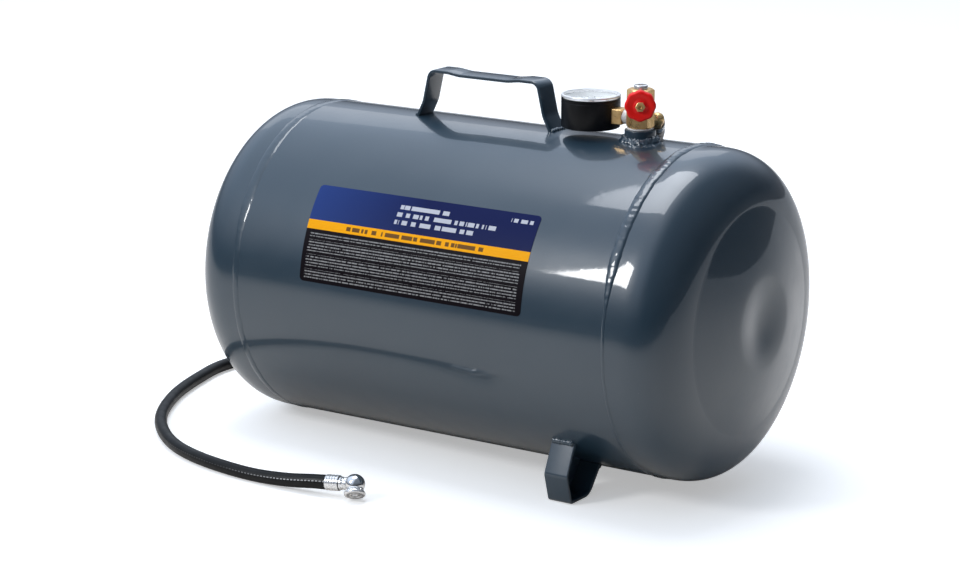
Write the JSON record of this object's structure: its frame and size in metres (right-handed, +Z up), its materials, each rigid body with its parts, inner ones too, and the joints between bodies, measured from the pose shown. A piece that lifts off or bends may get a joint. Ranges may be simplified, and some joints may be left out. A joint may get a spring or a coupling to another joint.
{
  "type": "portable air receiver tank",
  "caption": "Horizontal welded air tank with a carrying handle, foot loops, brass manifold, pressure gauge, shut-off knob, relief and fill valves, and a hose with a clip-on air chuck.",
  "frame": {"origin": "centre of the whole part's footprint, on the plane of the foot pads", "axes": "+X along the tank's axis towards the manifold end, +Y away from the label side, +Z up"},
  "size_m": [0.6415, 0.4506, 0.3655],
  "materials": {
    "slate_paint": "gloss slate-blue enamel",
    "brass": "machined",
    "plated_steel": "bright plated",
    "black_rubber": "satin",
    "black_enamel": "black enamel",
    "red_plastic": "moulded gloss",
    "dial_white": "white enamel with printed scale",
    "clear_lens": "clear polycarbonate",
    "sealing_tape": "soft white tape",
    "label_film": "printed film"
  },
  "bodies": {
    "tank": {"tank_shell": "slate_paint", "head_left": "slate_paint", "head_right": "slate_paint", "seam_weld_left": "slate_paint", "seam_weld_right": "slate_paint", "shell_seam_weld": "slate_paint", "neck_bung": "slate_paint", "neck_weld": "slate_paint", "carry_handle": "slate_paint", "handle_weld_left": "slate_paint", "handle_weld_right": "slate_paint", "foot_front": "slate_paint", "foot_front_weld_inner": "slate_paint", "foot_front_weld_outer": "slate_paint", "foot_rear": "slate_paint", "foot_rear_weld_inner": "slate_paint", "foot_rear_weld_outer": "slate_paint", "manifold_body": "brass", "gauge_socket": "brass", "hose_elbow": "brass", "valve_bonnet": "brass", "relief_valve_body": "brass", "relief_valve_cap": "brass", "fill_valve_body": "brass", "fill_valve_core": "brass", "gauge_bourdon_tube": "brass", "gauge_lower_plate": "brass", "gauge_upper_plate": "brass", "top_plug": "plated_steel", "gauge_bezel": "plated_steel", "hose_ferrule_tank": "plated_steel", "hose_ferrule_chuck": "plated_steel", "chuck_body": "plated_steel", "chuck_retainer": "plated_steel", "chuck_spring": "plated_steel", "relief_valve_spring": "plated_steel", "air_hose": "black_rubber", "chuck_gasket": "black_rubber", "valve_packing": "black_rubber", "gauge_case": "black_enamel", "gauge_dial": "dial_white", "gauge_lens": "clear_lens", "manifold_thread_tape": "sealing_tape", "gauge_thread_tape": "sealing_tape", "info_label": "label_film"},
    "valve_disc": {"valve_seat_disc": "black_rubber"},
    "handwheel": {"valve_spindle": "brass", "valve_knob": "red_plastic", "knob_nut": "brass"},
    "gauge_sector": {"gauge_sector_gear": "brass"},
    "gauge_needle": {"gauge_pointer": "black_enamel", "gauge_pinion": "brass"},
    "gauge_link_bar": {"gauge_link": "brass"},
    "relief_stem": {"relief_valve_stem": "plated_steel", "relief_valve_disc": "black_rubber"},
    "relief_ring": {"relief_pull_ring": "plated_steel"},
    "fill_pin": {"fill_valve_pin": "plated_steel"},
    "fill_cap": {"fill_valve_cap": "black_enamel"},
    "chuck_pin": {"chuck_poppet": "plated_steel"}
  },
  "joints": [
    {"name": "spindle_travel", "type": "slide", "parent": "tank", "child": "valve_disc", "axis": [0.5, -0.866, 0], "range_m": [0, 0.002]},
    {"name": "knob_turn", "type": "hinge", "parent": "valve_disc", "child": "handwheel", "pos_m": [0.1897, 0.0187, 0.3512], "axis": [0.5, -0.866, 0], "range_deg": [0, 720]},
    {"name": "sector_turn", "type": "hinge", "parent": "tank", "child": "gauge_sector", "pos_m": [0.12915, 0.01074, 0.3349], "axis": [0, 0, 1], "range_deg": [0, 33.75]},
    {"name": "pointer_turn", "type": "hinge", "parent": "tank", "child": "gauge_needle", "pos_m": [0.1371, 0.0187, 0.3349], "axis": [0, 0, -1], "range_deg": [0, 270.1]},
    {"name": "link_turn", "type": "hinge", "parent": "gauge_sector", "child": "gauge_link_bar", "pos_m": [0.13165, 0.00641, 0.3349], "axis": [0, 0, 1], "range_deg": [-33.8, 0]},
    {"name": "relief_lift", "type": "slide", "parent": "tank", "child": "relief_stem", "axis": [-0.5, 0.866, 0], "range_m": [0, 0.0015]},
    {"name": "ring_swing", "type": "hinge", "parent": "relief_stem", "child": "relief_ring", "pos_m": [0.17265, 0.04823, 0.3337], "axis": [0.866, 0.5, 0], "range_deg": [-30, 95]},
    {"name": "fill_pin_press", "type": "slide", "parent": "tank", "child": "fill_pin", "axis": [0.5, -0.866, 0], "range_m": [0, 0.0015]},
    {"name": "fill_cap_off", "type": "slide", "parent": "tank", "child": "fill_cap", "axis": [-0.5, 0.866, 0], "range_m": [0, 0.012]},
    {"name": "chuck_pin_press", "type": "slide", "parent": "tank", "child": "chuck_pin", "axis": [-0.3506, 0.5209, 0.7783], "range_m": [0, 0.0025]}
  ],
  "couplings": [
    {"joint": "spindle_travel", "follows": "knob_turn", "m_per_rad": 0.00015915},
    {"joint": "pointer_turn", "follows": "sector_turn", "ratio": 8},
    {"joint": "link_turn", "follows": "sector_turn", "ratio": -1}
  ]
}
